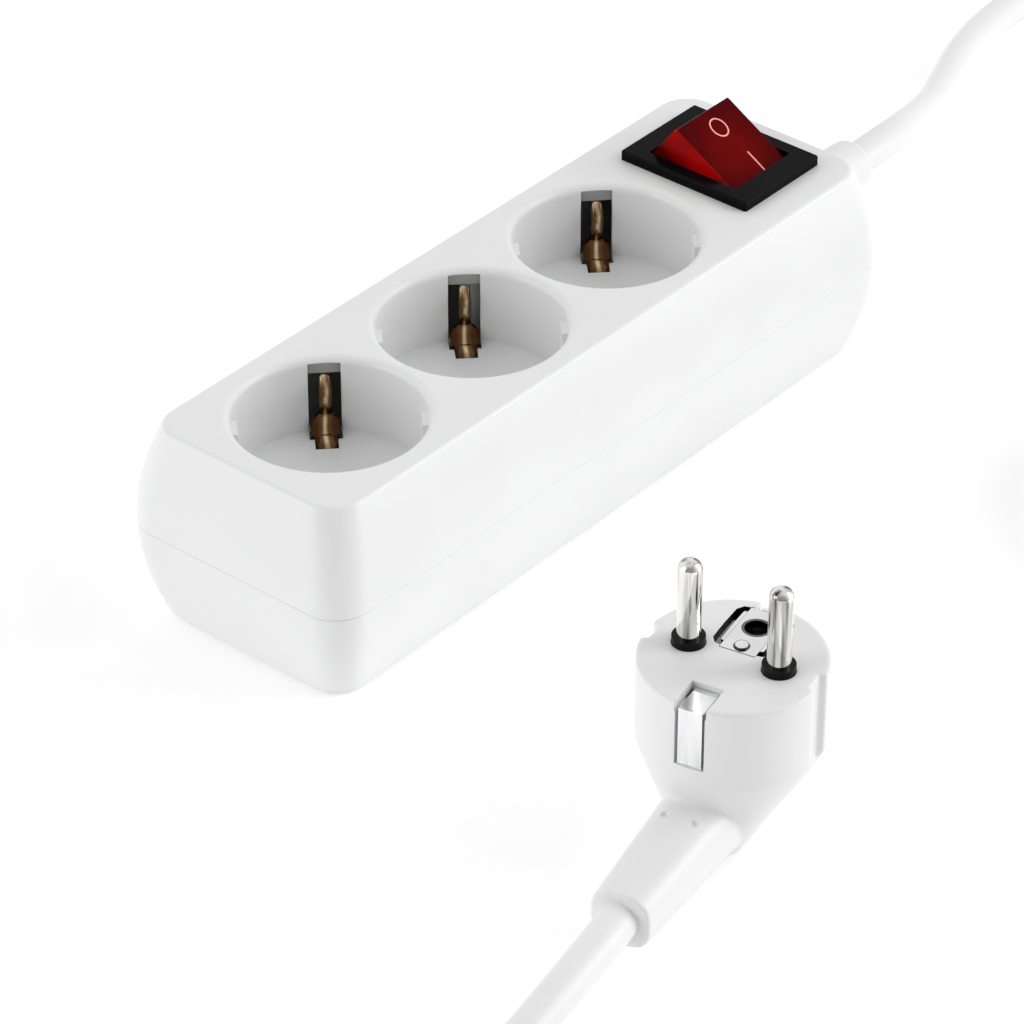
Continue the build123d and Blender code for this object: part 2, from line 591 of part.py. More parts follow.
with BuildPart() as switch_rocker:
    with BuildSketch(rocker_plane):
        with BuildLine():
            Polyline(
                (-ROCKER_HALF, ROCKER_RISE), (ROCKER_HALF, ROCKER_RISE),
                (ROCKER_SKIRT_HALF, -ROCKER_SKIRT_DROP), (-ROCKER_SKIRT_HALF, -ROCKER_SKIRT_DROP),
                close=True,
            )
        make_face()
    extrude(amount=ROCKER_WIDTH / 2, both=True)
    fillet(switch_rocker.edges().filter_by(Axis.X).group_by(rocker_height)[-1], ROCKER_ROUND)
    with BuildSketch(rocker_plane):
        with BuildLine():
            Polyline(
                (-ROCKER_HALF + ROCKER_WALL, ROCKER_RISE - ROCKER_WALL),
                (ROCKER_HALF - ROCKER_WALL, ROCKER_RISE - ROCKER_WALL),
                (ROCKER_SKIRT_HALF - ROCKER_WALL, -ROCKER_SKIRT_DROP),
                (-ROCKER_SKIRT_HALF + ROCKER_WALL, -ROCKER_SKIRT_DROP),
                close=True,
            )
        make_face()
    extrude(amount=ROCKER_WIDTH / 2 - ROCKER_WALL, both=True, mode=Mode.SUBTRACT)
    for side in (-1, 1):
        with BuildSketch(Plane.YZ.offset(SWITCH_X + side * (ROCKER_WIDTH / 2 - ROCKER_WALL))):
            with Locations((0, PIVOT_Z)):
                Circle(AXLE_RADIUS)
        extrude(amount=side * (AXLE_END - ROCKER_WIDTH / 2 + ROCKER_WALL))
        guide_plane = Plane(
            origin=rocker_plane.from_local_coords((0, 0, side * POLE_OFFSET)),
            x_dir=(1, 0, 0),
            z_dir=rocker_plane.y_dir,
        )
        with BuildSketch(guide_plane.offset(-GUIDE_DROP)):
            Circle(GUIDE_RADIUS)
        extrude(amount=GUIDE_DROP + ROCKER_RISE - ROCKER_WALL)
        with BuildSketch(guide_plane.offset(-GUIDE_DROP)):
            Circle(PLUNGER_RADIUS)
        extrude(amount=GUIDE_DROP + PLUNGER_TOP, mode=Mode.SUBTRACT)

# Switch: the plungers that the rocker carries over the levers
with BuildPart() as switch_plungers:
    for side in (-1, 1):
        plunger_plane = Plane(
            origin=rocker_plane.from_local_coords((0, 0, side * POLE_OFFSET)),
            x_dir=(1, 0, 0),
            z_dir=rocker_plane.y_dir,
        )
        with BuildSketch(plunger_plane.offset(-PLUNGER_REACH)):
            Circle(PLUNGER_RADIUS)
        extrude(amount=PLUNGER_REACH + PLUNGER_TOP)

# Switch: two V-shaped see-saw levers, one for each pole
lever_turn = math.radians(LEVER_TILT)
lever_plane = Plane(
    origin=(SWITCH_X, 0, LEVER_Z),
    x_dir=(0, math.cos(lever_turn), math.sin(lever_turn)),
    z_dir=(1, 0, 0),
)
arm_out = LEVER_ARM * math.cos(math.radians(LEVER_RISE))
arm_up = LEVER_ARM * math.sin(math.radians(LEVER_RISE))
with BuildPart() as contact_levers:
    for side in (-1, 1):
        with BuildSketch(lever_plane.offset(side * POLE_OFFSET)):
            with BuildLine():
                Polyline((-arm_out, arm_up), (0, 0), (arm_out, arm_up))
            trace(line_width=STRIP_THICKNESS)
        extrude(amount=LEVER_WIDTH / 2, both=True)

# Switch: the neon lamp inside the rocker, with its two legs
with BuildPart() as indicator_lamp:
    with BuildSketch(Plane.XY.offset(LAMP_BOTTOM_Z)):
        with Locations((SWITCH_X, 0)):
            Circle(LAMP_RADIUS)
    extrude(amount=LAMP_TOP_Z - LAMP_BOTTOM_Z)
    fillet(indicator_lamp.faces().sort_by(Axis.Z)[-1].edges(), LAMP_RADIUS / 2)
    with BuildSketch(Plane.XY.offset(BODY_BOTTOM_Z + SWITCH_FLOOR)):
        with Locations((SWITCH_X, -LAMP_LEG_Y), (SWITCH_X, LAMP_LEG_Y)):
            Circle(LAMP_LEG_RADIUS)
    extrude(amount=LAMP_BOTTOM_Z - BODY_BOTTOM_Z - SWITCH_FLOOR)

# Strain relief: a flange inside the case and a tapered sleeve outside
with BuildPart() as cord_boot:
    with BuildSketch(Plane.XZ):
        with BuildLine():
            Polyline(
                (BOOT_FLANGE_X, CORD_Z + CORD_RADIUS),
                (BOOT_FLANGE_X, CORD_Z + BOOT_FLANGE_RADIUS),
                (BOOT_FLANGE_X + BOOT_FLANGE_THICKNESS, CORD_Z + BOOT_FLANGE_RADIUS),
                (BOOT_FLANGE_X + BOOT_FLANGE_THICKNESS, CORD_Z + BOOT_ROOT_RADIUS),
                (TOP_LENGTH / 2 + SIDE_SWELL, CORD_Z + BOOT_ROOT_RADIUS),
                (BOOT_END_X, CORD_Z + BOOT_TIP_RADIUS),
                (BOOT_END_X, CORD_Z + CORD_RADIUS),
                close=True,
            )
        make_face()
    revolve(axis=Axis((0, 0, CORD_Z), (1, 0, 0)))
    end_circles = cord_boot.edges().filter_by(GeomType.CIRCLE).group_by(Axis.X)[-1]
    fillet(end_circles.sort_by(lambda edge: edge.radius)[-1], BOOT_TIP_ROUND)

# Cord inside the strain relief and under the clamp
with BuildPart() as cord_sheath_end:
    with BuildSketch(Plane.YZ.offset(SHEATH_START_X)):
        with Locations((0, CORD_Z)):
            Circle(CORD_RADIUS)
    extrude(amount=BOOT_END_X - SHEATH_START_X)

# Clamp bar over the cord, and its screws
with BuildPart() as cord_clamp:
    with BuildSketch(Plane.XY.offset(CORD_Z)):
        with Locations((CLAMP_X, 0)):
            Rectangle(CLAMP_WIDTH, 2 * CLAMP_HALF)
    extrude(amount=CORD_RADIUS + CLAMP_THICKNESS)
    with BuildSketch(Plane.YZ.offset(CLAMP_X - CLAMP_WIDTH)):
        with Locations((0, CORD_Z)):
            Circle(CORD_RADIUS)
    extrude(amount=2 * CLAMP_WIDTH, mode=Mode.SUBTRACT)
    with BuildSketch(Plane.XY.offset(CORD_Z)):
        with Locations((CLAMP_X, -CLAMP_SCREW_Y), (CLAMP_X, CLAMP_SCREW_Y)):
            Circle(CLAMP_SCREW_RADIUS)
    extrude(amount=CORD_RADIUS + CLAMP_THICKNESS, mode=Mode.SUBTRACT)

clamp_top_z = CORD_Z + CORD_RADIUS + CLAMP_THICKNESS
with BuildPart() as clamp_screws:
    with BuildSketch(Plane.XY.offset(clamp_top_z)):
        with Locations((CLAMP_X, -CLAMP_SCREW_Y), (CLAMP_X, CLAMP_SCREW_Y)):
            Circle(CLAMP_SCREW_HEAD)
    extrude(amount=CLAMP_SCREW_RADIUS)
    with BuildSketch(Plane.XY.offset(CORD_Z - CLAMP_SCREW_DEPTH)):
        with Locations((CLAMP_X, -CLAMP_SCREW_Y), (CLAMP_X, CLAMP_SCREW_Y)):
            Circle(CLAMP_SCREW_RADIUS)
    extrude(amount=clamp_top_z - CORD_Z + CLAMP_SCREW_DEPTH)

# Insulated wires inside the case
wires = {name: wire(points, WIRE_RADIUS, WIRE_BEND) for name, points in WIRE_ROUTES.items()}

# Lead outside the case: a tube to the coil, the coil's outer shape, and a tube to the plug
cord_tube_strip = cord_tube(STRIP_ROUTE)
with BuildPart() as cord_coil:
    with BuildSketch(Plane.XZ.offset(-COIL_CENTRE[1])):
        with Locations((COIL_CENTRE[0] + (COIL_INNER + COIL_OUTER) / 2, FLOOR_CORD_Z)):
            RectangleRounded(COIL_OUTER - COIL_INNER, COIL_HEIGHT, COIL_HEIGHT / 2 - TOLERANCE)
    revolve(axis=Axis((COIL_CENTRE[0], COIL_CENTRE[1], 0), (0, 0, 1)))

# Plug frame
plug_turn = math.radians(PLUG_TURN)
plug_across = (math.sin(plug_turn), -math.cos(plug_turn), 0)
plug_plane = Plane(origin=PLUG_FACE, x_dir=plug_across, z_dir=(0, 0, 1))
plug_side_plane = Plane(
    origin=plug_plane.from_local_coords((0, 0, -PLUG_BOOT_DEPTH)),
    x_dir=plug_plane.x_dir,
    z_dir=-plug_plane.y_dir,
)
plug_boot_end = plug_plane.from_local_coords((0, -PLUG_BOOT_END, -PLUG_BOOT_DEPTH))
plug_exit = plug_plane.from_local_coords((0, -PLUG_BOOT_END - PLUG_EXIT_RUN, -PLUG_BOOT_DEPTH))
cord_tube_plug = cord_tube([*PLUG_ROUTE, tuple(plug_exit), tuple(plug_boot_end)])

plug_mid_plane = Plane(origin=PLUG_FACE, x_dir=plug_plane.y_dir, z_dir=plug_plane.x_dir)

# Plug: two round pins with domed tips, each on a thinner tail that runs through its collar and the core
plug_pins = []
for side in (-1, 1):
    with BuildPart() as pin:
        with BuildSketch(plug_plane.offset(-PIN_TAIL)):
            with Locations((side * pin_offset, 0)):
                Circle(PIN_TAIL_RADIUS)
        extrude(amount=PIN_TAIL + COLLAR_PROUD)
        with BuildSketch(plug_plane.offset(COLLAR_PROUD)):
            with Locations((side * pin_offset, 0)):
                Circle(PIN_RADIUS)
        extrude(amount=PIN_LENGTH - COLLAR_PROUD)
        fillet(pin.edges().group_by(Axis.Z)[-1], PIN_RADIUS - PIN_TIP_FLAT)
    plug_pins.append(pin)
plug_pin_live, plug_pin_neutral = plug_pins

# Plug: dark insulating collars round the pins' roots
with BuildPart() as plug_pin_collars:
    with BuildSketch(plug_plane.offset(-CORE_TOP)):
        with Locations((-pin_offset, 0), (pin_offset, 0)):
            Circle(COLLAR_RADIUS)
            Circle(PIN_TAIL_RADIUS, mode=Mode.SUBTRACT)
    extrude(amount=CORE_TOP + COLLAR_PROUD)

# Plug: riveted plate and sleeve that take a socket's own earth pin
with BuildPart() as plug_earth_sleeve:
    with BuildSketch(plug_plane.offset(-BRACKET_THICKNESS)):
        with Locations((0, EARTH_PLATE_Y)):
            Rectangle(EARTH_PLATE_WIDTH, EARTH_PLATE_LENGTH)
    extrude(amount=BRACKET_THICKNESS)
    with BuildSketch(plug_plane):
        with Locations((0, RIVET_Y)):
            Circle(RIVET_RADIUS)
    extrude(amount=RIVET_PROUD)
    with BuildSketch(plug_plane.offset(-EARTH_SLEEVE_DEPTH)):
        with Locations((0, EARTH_HOLE_Y)):
            Circle(EARTH_SLEEVE_RADIUS)
    extrude(amount=EARTH_SLEEVE_DEPTH - BRACKET_THICKNESS)
    with BuildSketch(plug_plane.offset(-EARTH_SLEEVE_DEPTH + BRACKET_THICKNESS)):
        with Locations((0, EARTH_HOLE_Y)):
            Circle(EARTH_HOLE_RADIUS)
    extrude(amount=EARTH_SLEEVE_DEPTH, mode=Mode.SUBTRACT)

# Plug: earth strip under the core with a contact up each side, one of them bent in over the core
with BuildPart() as plug_earth_bracket:
    with BuildSketch(plug_mid_plane):
        with BuildLine():
            Polyline(
                (-LUG_END, -LUG_DROP), (-BRACKET_HALF, -LUG_DROP), (-BRACKET_HALF, -BRACKET_UNDER),
                (BRACKET_HALF, -BRACKET_UNDER), (BRACKET_HALF, -BRACKET_TOP),
            )
        trace(line_width=BRACKET_THICKNESS)
    extrude(amount=BRACKET_WIDTH / 2, both=True)

# Plug: rigid core that holds the pins and the sleeve
with BuildPart() as plug_core:
    with BuildSketch(plug_plane.offset(-CORE_BOTTOM)):
        Circle(CORE_RADIUS)
        with Locations((-pin_offset, 0), (pin_offset, 0)):
            Circle(PIN_TAIL_RADIUS, mode=Mode.SUBTRACT)
        with Locations((0, EARTH_HOLE_Y)):
            Circle(EARTH_SLEEVE_RADIUS, mode=Mode.SUBTRACT)
    extrude(amount=CORE_BOTTOM - CORE_TOP)

# Plug: the lead's end inside the strain relief, and its three wires
with BuildPart() as plug_sheath_end:
    with BuildSketch(plug_side_plane.offset(PLUG_SHEATH_START)):
        Circle(CORD_RADIUS)
    extrude(amount=PLUG_BOOT_END - PLUG_SHEATH_START)

plug_wire_parts = [
    wire([tuple(plug_plane.from_local_coords(point)) for point in points], PLUG_WIRE_RADIUS, WIRE_BEND)
    for points in PLUG_WIRE_ROUTES
]
with BuildPart() as plug_wires:
    for plug_wire in plug_wire_parts:
        add(plug_wire.part)

# Plug: the moulded body with its strain relief, cast round the other pieces
with BuildPart() as plug_body:
    with BuildSketch(plug_plane):
        Circle(PLUG_RADIUS)
    extrude(amount=-PLUG_SHOULDER)
    with BuildSketch(plug_plane.offset(-PLUG_SHOULDER)):
        Circle(PLUG_RADIUS)
    with BuildSketch(plug_plane.offset(-PLUG_DEPTH)):
        with Locations((0, PLUG_BACK_SHIFT)):
            RectangleRounded(PLUG_BACK_WIDTH, PLUG_BACK_LENGTH, PLUG_BACK_ROUND)
    loft()
    with BuildSketch(plug_side_plane):
        Circle(PLUG_BOOT_ROOT_RADIUS)
    with BuildSketch(plug_side_plane.offset(PLUG_BOOT_END)):
        Circle(PLUG_BOOT_TIP_RADIUS)
    loft()
    with BuildSketch(plug_plane):
        with Locations((0, BRACKET_HALF), (0, -BRACKET_HALF)):
            Rectangle(BRACKET_WIDTH, BRACKET_POCKET)
    extrude(amount=-BRACKET_POCKET_DEPTH, mode=Mode.SUBTRACT)
    with BuildSketch(plug_plane):
        with Locations((0, -LUG_POCKET_END)):
            Rectangle(LUG_POCKET_WIDTH, PLUG_RADIUS - LUG_POCKET_END, align=(Align.CENTER, Align.MAX))
    extrude(amount=-CORE_TOP, mode=Mode.SUBTRACT)
    for piece in (plug_core, plug_pin_collars, plug_earth_sleeve, plug_earth_bracket, plug_sheath_end,
                  plug_wires, *plug_pins):
        add(piece.part, mode=Mode.SUBTRACT)
    with BuildSketch(plug_plane):
        with Locations((0, EARTH_HOLE_Y)):
            Circle(EARTH_HOLE_RADIUS)
    extrude(amount=BRACKET_THICKNESS - EARTH_SLEEVE_DEPTH, mode=Mode.SUBTRACT)

pieces = {
    "top_cover": top_cover, "base_cover": base_cover, "case_screws": case_screws, "earth_bus": earth_bus,
    "live_bus": live_bus, "neutral_bus": neutral_bus,
    "live_contacts": live_contacts, "neutral_contacts": neutral_contacts,
    "switch_housing": switch_housing, "switch_rocker": switch_rocker, "switch_plungers": switch_plungers,
    "contact_levers": contact_levers, "switch_terminals": switch_terminals, "indicator_lamp": indicator_lamp,
    "cord_boot": cord_boot, "cord_sheath_end": cord_sheath_end, "cord_clamp": cord_clamp,
    "clamp_screws": clamp_screws, "cord_tube_strip": cord_tube_strip, "cord_coil": cord_coil,
    "cord_tube_plug": cord_tube_plug, "plug_body": plug_body, "plug_core": plug_core,
    "plug_pin_live": plug_pin_live, "plug_pin_neutral": plug_pin_neutral,
    "plug_pin_collars": plug_pin_collars,
    "plug_earth_bracket": plug_earth_bracket, "plug_earth_sleeve": plug_earth_sleeve,
    "plug_sheath_end": plug_sheath_end, "plug_wires": plug_wires,
}
pieces.update({f"earth_clip_{number}": clip for number, clip in enumerate(earth_clips, start=1)})
pieces.update({f"wire_{name}": piece for name, piece in wires.items()})
for name, piece in pieces.items():
    piece.part.label = name
    export_step(piece.part, f"parts/{name}.step")
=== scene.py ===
import math

import bmesh
import bpy
from mathutils import Matrix, Vector


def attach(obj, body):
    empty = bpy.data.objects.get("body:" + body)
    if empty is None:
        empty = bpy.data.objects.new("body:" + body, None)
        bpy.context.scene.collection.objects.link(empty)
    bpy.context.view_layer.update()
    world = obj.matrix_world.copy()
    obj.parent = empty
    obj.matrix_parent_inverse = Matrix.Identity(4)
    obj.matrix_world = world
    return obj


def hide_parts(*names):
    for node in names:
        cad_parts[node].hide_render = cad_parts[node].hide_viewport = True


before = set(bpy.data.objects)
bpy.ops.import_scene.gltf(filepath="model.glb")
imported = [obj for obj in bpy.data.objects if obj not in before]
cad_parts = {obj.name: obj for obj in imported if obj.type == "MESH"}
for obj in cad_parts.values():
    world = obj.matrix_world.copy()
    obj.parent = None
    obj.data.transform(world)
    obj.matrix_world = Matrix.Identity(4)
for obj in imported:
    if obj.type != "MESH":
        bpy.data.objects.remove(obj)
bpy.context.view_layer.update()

MM = 0.001
scene = bpy.context.scene

# ---------------------------------------------------------------- camera

AZIMUTH = math.radians(-50.1)
ELEVATION = math.radians(35.0)
CAMERA_DISTANCE = 1.0417
CAMERA_LENS = 172.0
AIM_RIGHT = -0.0018
AIM_UP = -0.0089


def make_camera():
    back = Vector((
        math.sin(AZIMUTH) * math.cos(ELEVATION), -math.cos(AZIMUTH) * math.cos(ELEVATION), math.sin(ELEVATION)
    ))
    right = Vector((math.cos(AZIMUTH), math.sin(AZIMUTH), 0))
    up = back.cross(right)
    data = bpy.data.cameras.new("camera")
    data.lens = CAMERA_LENS
    data.sensor_width = 36
    data.clip_start = 0.01
    data.clip_end = 20
    camera = bpy.data.objects.new("camera", data)
    camera.matrix_world = Matrix.Translation(
        back * CAMERA_DISTANCE + right * AIM_RIGHT + up * AIM_UP
    ) @ Matrix((right, up, back)).transposed().to_4x4()
    scene.collection.objects.link(camera)
    scene.camera = camera


make_camera()

# ---------------------------------------------------------------- lead

CORD_RADIUS = 4.0
CORD_LIFT = 0.1
PLUG_FACE = Vector((-65.2, -106.6, 39.0))
PLUG_TURN = math.radians(11.5)
PLUG_BOOT_DEPTH = 31.0
PLUG_BOOT_END = 46.0
PLUG_EXIT_RUN = 21.0
COIL_CENTRE = Vector((105.0, -128.0, 0.0))
STRIP_ROUTE = [
    (117, 0, 22.5), (131, 0, 22.5), (147, 3.6, 19.2), (163, 10.5, 13.2), (180, 19, 8), (198, 27.5, 4.9),
    (219, 32.5, 4.1), (241, 32, 4.1), (262.5, 25.5, 4.1), (279, 10, 4.1), (286, -12, 4.1),
    (282, -34, 4.1), (267.5, -52, 4.1), (247, -62, 4.1), (213, -65.5, 4.1), (172, -64, 4.1),
    (134, -67, 4.1), (103, -76, 4.1),
]
PLUG_ROUTE = [
    (29, -135, 4.1), (3, -151, 4.1), (-27, -171, 4.1),
    (-59, -194, 4.1), (-92, -211, 4.1), (-126, -219.5, 4.1), (-156.5, -219, 4.1), (-179, -209.5, 4.1),
    (-194, -191.5, 4.1), (-199, -168.5, 4.1), (-192.5, -145.5, 4.1), (-176, -129, 4.6),
    (-154, -123, 5.8),
]
TURN_STEPS = 14
COIL_START = 125
OUTER_TURN = 48.6
INNER_TURN = 40.6
TURN_SHIFT_STEPS = 4
CROSSING_RISE = 7.5
# Points past the second turn's end: angle on, radius, height
CROSSING = ((0.0, 43.5, 13.2), (23.0, 51.5, 13.2), (43.0, 60.0, 6.4))

plug_ahead = Vector((math.cos(PLUG_TURN), math.sin(PLUG_TURN), 0))
plug_across = Vector((math.sin(PLUG_TURN), -math.cos(PLUG_TURN), 0))


def plug_point(across, ahead, up):
    """Point of the plug's own frame, in the row's frame, both in millimetres."""
    return PLUG_FACE + plug_across * across + plug_ahead * ahead + Vector((0, 0, up))


def coil_point(angle, radius, height):
    turn = math.radians(angle)
    return COIL_CENTRE + Vector((radius * math.cos(turn), radius * math.sin(turn), height))


def coil_points():
    """Two turns side by side; the inner one leaves over the outer one in a low hump."""
    step = 360 / TURN_STEPS
    points = []
    for index in range(2 * TURN_STEPS):
        shift = min(1, max(0, (index - TURN_STEPS + TURN_SHIFT_STEPS) / TURN_SHIFT_STEPS))
        radius = OUTER_TURN + (INNER_TURN - OUTER_TURN) * shift
        points.append(coil_point(COIL_START + index * step, radius, CORD_RADIUS + CORD_LIFT))
    points[-1].z = CROSSING_RISE
    end = COIL_START + 2 * TURN_STEPS * step
    points += [coil_point(end + turn, radius, height) for turn, radius, height in CROSSING]
    return points


def make_cord():
    plug_exit = plug_point(0, -PLUG_BOOT_END - PLUG_EXIT_RUN, -PLUG_BOOT_DEPTH)
    boot_end = plug_point(0, -PLUG_BOOT_END, -PLUG_BOOT_DEPTH)
    points = [*map(Vector, STRIP_ROUTE), *coil_points(), *map(Vector, PLUG_ROUTE), plug_exit, boot_end]
    curve = bpy.data.curves.new("lead", "CURVE")
    curve.dimensions = "3D"
    curve.bevel_depth = 1.0  # times each point's radius, which also sets how far the curve's box reaches
    curve.bevel_resolution = 8
    curve.use_fill_caps = True
    spline = curve.splines.new("NURBS")
    spline.points.add(len(points) - 1)
    for target, point in zip(spline.points, points):
        target.co = (*(point * MM), 1)
        target.radius = CORD_RADIUS * MM
    spline.order_u = 3
    spline.use_endpoint_u = True
    spline.resolution_u = 8
    lead = bpy.data.objects.new("lead", curve)
    scene.collection.objects.link(lead)
    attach(lead, "root")
    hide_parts("cord_tube_strip", "cord_coil", "cord_tube_plug")
    return lead


lead = make_cord()

# ---------------------------------------------------------------- materials

WHITE = (0.79, 0.797, 0.792)
BLACK = (0.004, 0.004, 0.0043)
MIDDLE_OF_NOISE = (0.3, 0.7)
SWITCH_X = 67.1
PIVOT_Z = 45.4
ROCKER_TILT = math.radians(30)
ROCKER_RISE = 6.2
LIT_SIDE_X = (-8.74, -8.5)
LIT_RISE = (-1.5, 4.5)
LIT_LENGTH = (-9.5, 4.5)
SIDE_GLOW = 0.26
FACE_GLOW = (0.1, 0.012)
FACE_GLOW_RADII = (3.0, 12.0)
EARTH_LINE = math.radians(45)
EARTH_SIDE = Vector((-math.sin(EARTH_LINE), math.cos(EARTH_LINE), 0))
# Half width of the painted gold highlight along the middle of each earth spring, in metres
CLIP_HIGHLIGHT_REACH = 0.0032
RIVET_AHEAD = 3.5
EARTH_HOLE_AHEAD = 10.0
# Rings of painted shade on the plug's earth plate, round its rivet and its hole: distance ahead, radius, half
# width
PAINTED_SHADE_RINGS = ((RIVET_AHEAD, 1.5, 0.22), (EARTH_HOLE_AHEAD, 2.7, 0.35))


def new_material(name):
    material = bpy.data.materials.new(name)
    material.use_nodes = True
    return material, material.node_tree, material.node_tree.nodes["Principled BSDF"]


def add_node(tree, kind, links=None, values=None, **settings):
    node = tree.nodes.new(kind)
    for name, value in settings.items():
        setattr(node, name, value)
    for socket, value in (values or {}).items():
        node.inputs[socket].default_value = value
    for socket, source in (links or {}).items():
        tree.links.new(source, node.inputs[socket])
    return node


def object_place(tree):
    return add_node(tree, "ShaderNodeTexCoord").outputs["Object"]


def noise(tree, scale, stretch=(1, 1, 1), detail=3.0):
    """Cloudy pattern fixed to the object; the scale is in features per metre."""
    mapping = add_node(tree, "ShaderNodeMapping", {"Vector": object_place(tree)}, {"Scale": stretch})
    values = {"Scale": scale, "Detail": detail}
    return add_node(tree, "ShaderNodeTexNoise", {"Vector": mapping.outputs["Vector"]}, values).outputs["Fac"]


def span(tree, value, before, after):
    """The value's range before mapped to the range after, clamped."""
    values = {"From Min": before[0], "From Max": before[1], "To Min": after[0], "To Max": after[1]}
    return add_node(tree, "ShaderNodeMapRange", {"Value": value}, values).outputs["Result"]


def math_node(tree, operation, first, second):
    node = add_node(tree, "ShaderNodeMath", operation=operation)
    for index, value in enumerate((first, second)):
        if isinstance(value, float):
            node.inputs[index].default_value = value
        else:
            tree.links.new(value, node.inputs[index])
    return node.outputs["Value"]


def multiply(tree, first, second):
    return math_node(tree, "MULTIPLY", first, second)


def add(tree, first, second):
    return math_node(tree, "ADD", first, second)


def dot(tree, first, direction):
    links, values = {0: first}, {1: direction}
    return add_node(tree, "ShaderNodeVectorMath", links, values, operation="DOT_PRODUCT").outputs["Value"]


def distance(tree, first, point):
    links, values = {0: first}, {1: point}
    return add_node(tree, "ShaderNodeVectorMath", links, values, operation="DISTANCE").outputs["Value"]


def ramp(tree, factor, *stops):
    node = add_node(tree, "ShaderNodeValToRGB", {"Fac": factor})
    elements = node.color_ramp.elements
    while len(elements) < len(stops):
        elements.new(1)
    for element, (place, colour) in zip(elements, stops):
        element.position = place
        element.color = (*colour, 1)
    return node.outputs["Color"]


def mix(tree, factor, first, second):
    """Colour between first and second, where second is a plain colour."""
    node = add_node(tree, "ShaderNodeMix", data_type="RGBA")
    tree.links.new(factor, node.inputs["Factor"])
    tree.links.new(first, node.inputs[6])
    node.inputs[7].default_value = (*second, 1)
    return node.outputs[2]


def shade(colour, factor):
    return tuple(min(1.0, part * factor) for part in colour)


def mottled(tree, scale, colour, mottling):
    """The colour in slightly darker and lighter clouds."""
    darker, lighter = shade(colour, 1 - mottling), shade(colour, 1 + mottling)
    return ramp(tree, noise(tree, scale), (0.35, darker), (0.65, lighter))


def edge_mask(tree, radius):
    """Nearly 0 on flat stretches, up to 1 where the surface turns within the radius."""
    bevel = add_node(tree, "ShaderNodeBevel", values={"Radius": radius}, samples=4)
    normal = add_node(tree, "ShaderNodeNewGeometry").outputs["Normal"]
    links = {0: bevel.outputs["Normal"], 1: normal}
    turned = add_node(tree, "ShaderNodeVectorMath", links, operation="DOT_PRODUCT")
    return span(tree, turned.outputs["Value"], (1.0, 0.85), (0.0, 1.0))


def add_bumps(tree, shader, *layers, rounding=0.0):
    """Stack bump layers, each (height, strength, distance), over softly rounded edges."""
    normal = None
    if rounding:
        normal = add_node(tree, "ShaderNodeBevel", values={"Radius": rounding}, samples=4).outputs["Normal"]
    for height, strength, depth in layers:
        bump = add_node(tree, "ShaderNodeBump", {"Height": height}, {"Strength": strength, "Distance": depth})
        if normal:
            tree.links.new(normal, bump.inputs["Normal"])
        normal = bump.outputs["Normal"]
    tree.links.new(normal, shader.inputs["Normal"])


def set_colour(tree, shader, colour):
    tree.links.new(colour, shader.inputs["Base Color"])


def vary_roughness(tree, shader, pattern, lowest, highest):
    roughness = span(tree, pattern, MIDDLE_OF_NOISE, (lowest, highest))
    tree.links.new(roughness, shader.inputs["Roughness"])


def plastic(name, colour, roughness, specular=0.5, mottling=0.02, wear=1.05, grain=1800, depth=0.00003):
    """Moulded plastic: faint clouding, rubbed edges, rare specks and a fine spark-eroded grain."""
    material, tree, shader = new_material(name)
    cloud = mottled(tree, 28, colour, mottling)
    rubbed = mix(tree, edge_mask(tree, 0.0007), cloud, shade(colour, wear))
    specks = span(tree, noise(tree, 420, detail=1.0), (0.8, 0.84), (0.0, 0.3))
    set_colour(tree, shader, mix(tree, specks, rubbed, shade(colour, 0.75)))
    vary_roughness(tree, shader, noise(tree, 90), roughness - 0.05, roughness + 0.05)
    shader.inputs["Specular IOR Level"].default_value = specular
    waves = noise(tree, 60, detail=1.0)
    add_bumps(tree, shader, (noise(tree, grain), 0.35, depth), (waves, 0.25, depth * 3), rounding=0.0002)
    return material


def metal_base(name, roughness, stretch=(1, 1, 0.3), scratches=0.2, grain=900, rounding=0.0):
    """Metal with fine scratches along the stretch, its colour still to be set."""
    material, tree, shader = new_material(name)
    shader.inputs["Metallic"].default_value = 1
    lines = noise(tree, grain, stretch)
    vary_roughness(tree, shader, lines, roughness * 0.7, roughness * 1.3)
    add_bumps(tree, shader, (lines, scratches, 0.00001), rounding=rounding)
    return material, tree, shader


def metal(name, dark, bright, roughness, stretch=(1, 1, 1), streaks=160, scratches=0.3, grain=900):
    """Plated or drawn metal: dark and bright streaks along the stretch, and fine scratches. On the pins the
    streaks are painted reflections.
    """
    material, tree, shader = metal_base(name, roughness, stretch, scratches, grain, rounding=0.00012)
    pattern = noise(tree, streaks, stretch)
    cloud = ramp(tree, pattern, (0.38, dark), (0.52, bright), (0.75, shade(bright, 1.1)))
    set_colour(tree, shader, mix(tree, edge_mask(tree, 0.0003), cloud, shade(bright, 1.15)))
    return material


def soft_vinyl(name, colour, roughness, mottling=0.015, grain=700):
    """Extruded or cast vinyl: silky, with faint handling marks and shallow waves."""
    material, tree, shader = new_material(name)
    cloud = mottled(tree, 45, colour, mottling)
    marks = span(tree, noise(tree, 260, (1, 1, 0.4)), (0.68, 0.78), (0.0, 0.25))
    set_colour(tree, shader, mix(tree, marks, cloud, shade(colour, 0.92)))
    vary_roughness(tree, shader, noise(tree, 120), roughness - 0.06, roughness + 0.06)
    shader.inputs["Specular IOR Level"].default_value = 0.42
    shader.inputs["Subsurface Weight"].default_value = 0.06
    shader.inputs["Subsurface Radius"].default_value = (0.002, 0.002, 0.002)
    waves = noise(tree, 70, detail=1.0)
    add_bumps(tree, shader, (noise(tree, grain), 0.3, 0.00002), (waves, 0.3, 0.00008))
    return material


